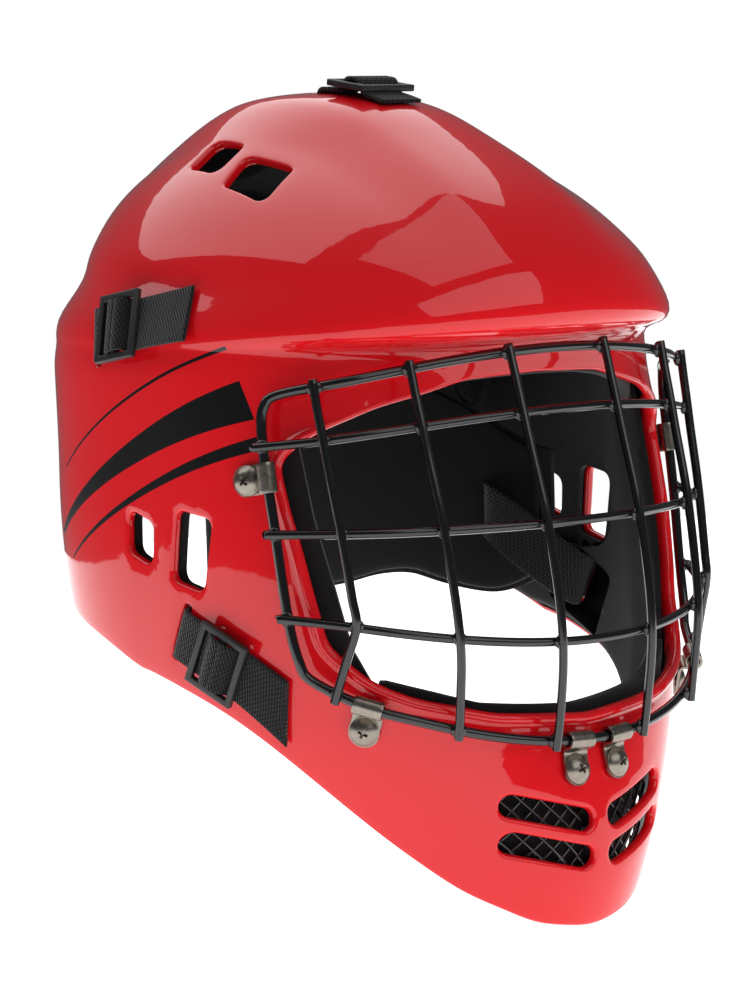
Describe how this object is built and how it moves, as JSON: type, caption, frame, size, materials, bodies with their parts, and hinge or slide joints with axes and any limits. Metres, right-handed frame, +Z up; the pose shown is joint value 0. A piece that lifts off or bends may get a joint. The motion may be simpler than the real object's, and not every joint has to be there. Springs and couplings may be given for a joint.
{
  "type": "floorball goalie helmet",
  "caption": "Full-face sport helmet: glossy moulded shell, bowed wire face cage on clips, foam padding and a back plate held by webbing with sliders.",
  "frame": {"origin": "centre of the bottom plane through the chin's lowest edge, where the wearer's head goes in; the part's middle in width and length", "axes": "+X to the wearer's left, +Y to the back of the head, +Z up to the crown; the face looks towards -Y"},
  "size_m": [0.2324, 0.2577, 0.3154],
  "materials": {
    "shell": "moulded red plastic under a clear gloss coat",
    "cage_wire": "black powder coated steel wire, glossy",
    "clip": "dark nickel plated steel strip",
    "screw": "dark nickel plated steel, polished dome",
    "nut": "zinc plated steel",
    "foam": "black closed-cell foam, matte",
    "back_plate": "black moulded plastic, fine matte grain",
    "mesh": "black coated expanded mesh",
    "webbing": "black ribbed elastic webbing",
    "slider": "black moulded plastic, satin"
  },
  "bodies": {
    "helmet": {"shell": "shell", "cage_frame": "cage_wire", "upper_crossbar": "cage_wire", "middle_crossbar": "cage_wire", "lower_crossbar": "cage_wire", "inner_upright_left": "cage_wire", "inner_upright_right": "cage_wire", "middle_upright_left": "cage_wire", "middle_upright_right": "cage_wire", "outer_upright_left": "cage_wire", "outer_upright_right": "cage_wire", "temple_clip_left": "clip", "temple_clip_right": "clip", "jaw_clip_left": "clip", "jaw_clip_right": "clip", "chin_clip_left": "clip", "chin_clip_right": "clip", "clip_screws": "screw", "clip_nuts": "nut", "brow_pad": "foam", "crown_pad": "foam", "rear_pad": "foam", "side_pad_left": "foam", "side_pad_right": "foam", "chin_pad": "foam", "chin_mesh_left": "mesh", "chin_mesh_right": "mesh", "top_strap": "webbing", "top_strap_tail": "webbing", "upper_strap_left": "webbing", "upper_strap_tail_left": "webbing", "upper_strap_right": "webbing", "upper_strap_tail_right": "webbing", "lower_strap_left": "webbing", "lower_strap_tail_left": "webbing", "lower_strap_right": "webbing", "lower_strap_tail_right": "webbing"},
    "back_rest": {"back_plate": "back_plate", "back_pad": "foam"},
    "top_slider": {"top_slider": "slider"},
    "upper_slider_left": {"upper_slider_left": "slider"},
    "upper_slider_right": {"upper_slider_right": "slider"},
    "lower_slider_left": {"lower_slider_left": "slider"},
    "lower_slider_right": {"lower_slider_right": "slider"}
  },
  "joints": [
    {"name": "back_rest_slide", "type": "slide", "parent": "helmet", "child": "back_rest", "axis": [0, 1, 0], "range_m": [0, 0.035], "stiffness_N_per_m": 400, "deforming": ["top_strap", "upper_strap_left", "upper_strap_right", "lower_strap_left", "lower_strap_right"]},
    {"name": "top_slider_slide", "type": "slide", "parent": "helmet", "child": "top_slider", "axis": [0, -0.9884, -0.1518], "range_m": [-0.004, 0.006], "deforming": ["top_strap_tail"]},
    {"name": "upper_slider_left_slide", "type": "slide", "parent": "helmet", "child": "upper_slider_left", "axis": [-0.0422, -0.9863, 0.1593], "range_m": [-0.004, 0.006], "deforming": ["upper_strap_tail_left"]},
    {"name": "upper_slider_right_slide", "type": "slide", "parent": "helmet", "child": "upper_slider_right", "axis": [0.0422, -0.9863, 0.1593], "range_m": [-0.004, 0.006], "deforming": ["upper_strap_tail_right"]},
    {"name": "lower_slider_left_slide", "type": "slide", "parent": "helmet", "child": "lower_slider_left", "axis": [-0.2407, -0.8565, -0.4565], "range_m": [-0.004, 0.006], "deforming": ["lower_strap_tail_left"]},
    {"name": "lower_slider_right_slide", "type": "slide", "parent": "helmet", "child": "lower_slider_right", "axis": [0.2407, -0.8565, -0.4565], "range_m": [-0.004, 0.006], "deforming": ["lower_strap_tail_right"]}
  ]
}
